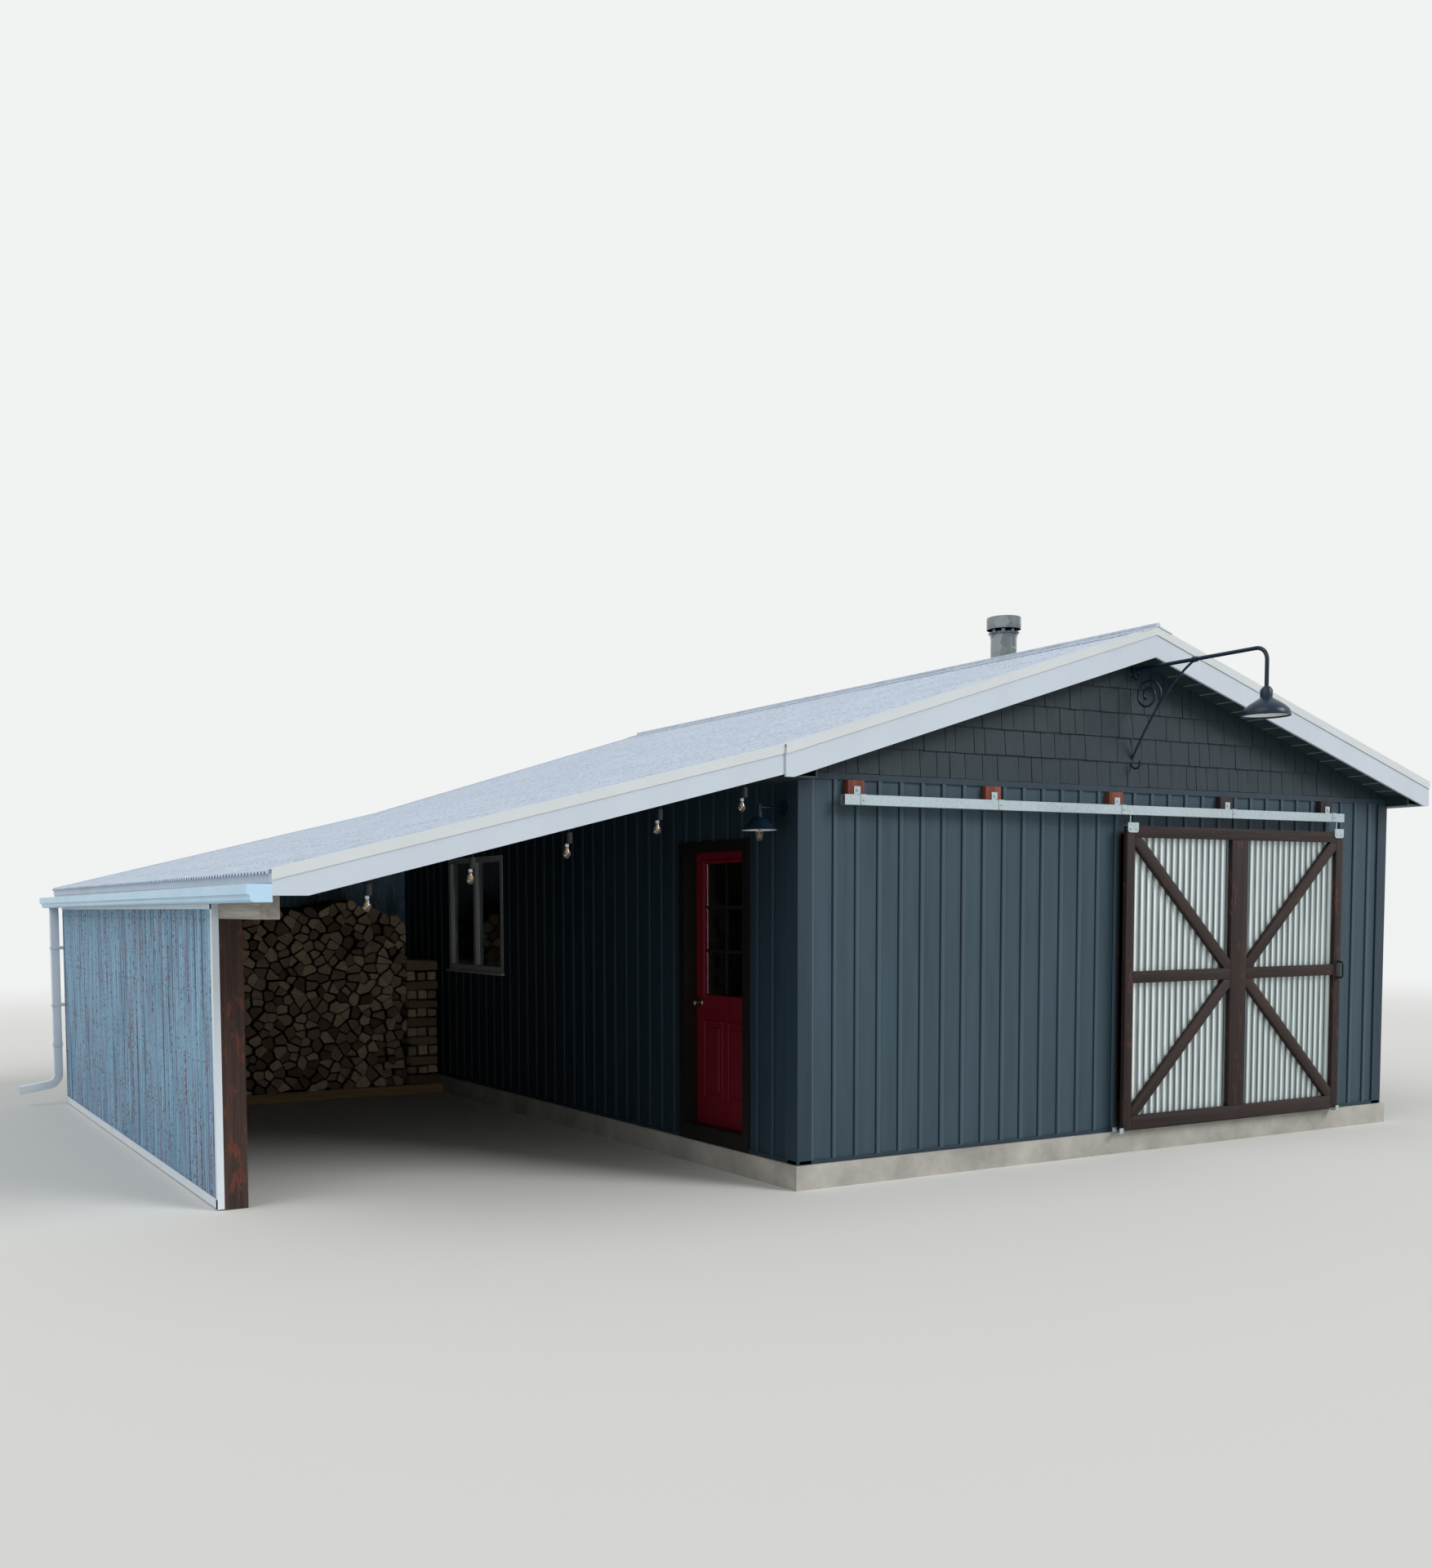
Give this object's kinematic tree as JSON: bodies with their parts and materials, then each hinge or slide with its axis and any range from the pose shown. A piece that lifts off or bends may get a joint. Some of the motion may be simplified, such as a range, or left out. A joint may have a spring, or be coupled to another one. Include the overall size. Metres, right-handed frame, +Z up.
{
  "type": "boathouse",
  "caption": "Small boathouse with a gabled main room, a sliding barn door hung on a box track, a side entry door, and an open lean-to with stacked firewood",
  "frame": {"origin": "middle of the main building's width and depth, on the level ground under the concrete base", "axes": "+Z up; the front gable with the sliding door faces -Y; the lean-to is on the -X side; +X runs across the gable to the right"},
  "size_m": [10.3599, 8.9795, 4.4102],
  "materials": {
    "concrete": "pale cast concrete, weathered",
    "siding": "dark blue-grey board and batten siding",
    "shakes": "dark blue-grey shakes",
    "trim_blue": "blue-grey corner and belt trim",
    "white_metal": "white coated metal edging",
    "dark_soffit": "dark vented soffit",
    "galvanised": "galvanised corrugated sheet",
    "roof_timber": "sawn softwood",
    "post_timber": "dark brown stained timber with red patches",
    "beam_timber": "silver weathered timber",
    "old_sheet": "old blue-grey corrugated sheet with rust streaks",
    "firewood": "split logs, grey bark and pale ends",
    "sill_timber": "pale sawn timber",
    "door_timber": "dark brown stained boards",
    "door_panel": "light galvanised corrugated panel",
    "zinc": "zinc plated steel",
    "block_timber": "red-brown painted blocks",
    "black_steel": "black painted steel",
    "lamp_metal": "blue-black enamelled steel, white inside the shades",
    "bulb_glass": "lamp glass",
    "window_white": "pale grey window frame",
    "pane_glass": "window glass",
    "red_door": "dark red painted door",
    "flue_steel": "stainless flue pipe",
    "knob_metal": "dull satin door knob"
  },
  "bodies": {
    "root": {"floor_slab": "concrete", "front_wall_left": "siding", "front_wall_right": "siding", "front_wall_over_door": "siding", "front_gable": "shakes", "left_wall_front": "siding", "left_wall_over_door": "siding", "left_wall_back": "siding", "right_wall": "siding", "back_wall": "siding", "back_gable": "shakes", "wall_trim": "trim_blue", "roof_left": "roof_timber", "roof_right": "roof_timber", "roof_sheets": "galvanised", "ridge_cap": "galvanised", "front_fascia": "white_metal", "back_fascia": "white_metal", "right_eave_fascia": "white_metal", "eave_soffit": "dark_soffit", "lean_to_deck": "roof_timber", "lean_to_sheet": "galvanised", "lean_to_rafters": "roof_timber", "lean_to_fascia": "white_metal", "gutter": "white_metal", "downspout": "white_metal", "lean_to_beam": "beam_timber", "lean_to_posts": "post_timber", "lean_to_wall_frame": "roof_timber", "lean_to_wall_sheets": "old_sheet", "lean_to_wall_trim": "white_metal", "lean_to_back_wall": "old_sheet", "firewood_stack": "firewood", "woodpile_sill": "sill_timber", "chimney_pipe": "flue_steel", "chimney_cap": "flue_steel", "chimney_flashing": "flue_steel", "window_frame": "window_white", "window_glass": "pane_glass", "entry_door_frame": "door_timber", "sliding_door_casing": "door_timber", "door_track": "zinc", "track_mounts": "block_timber", "door_guide": "black_steel", "gable_lamp": "lamp_metal", "wall_lamp": "lamp_metal", "string_sockets": "black_steel", "lamp_bulbs": "bulb_glass"},
    "sliding_door": {"sliding_door_frame": "door_timber", "sliding_door_braces": "door_timber", "sliding_door_panels": "door_panel", "sliding_door_hangers": "zinc", "sliding_door_pull": "black_steel"},
    "entry_door": {"entry_door_leaf": "red_door", "entry_door_glass": "pane_glass", "entry_door_knob": "knob_metal"}
  },
  "joints": [
    {"name": "door_slide", "type": "slide", "parent": "root", "child": "sliding_door", "axis": [-1, 0, 0], "range_m": [0, 2.48]},
    {"name": "entry_swing", "type": "hinge", "parent": "root", "child": "entry_door", "pos_m": [-2.901, -3.0305, 1.2], "axis": [0, 0, -1], "range_deg": [0, 100]}
  ]
}
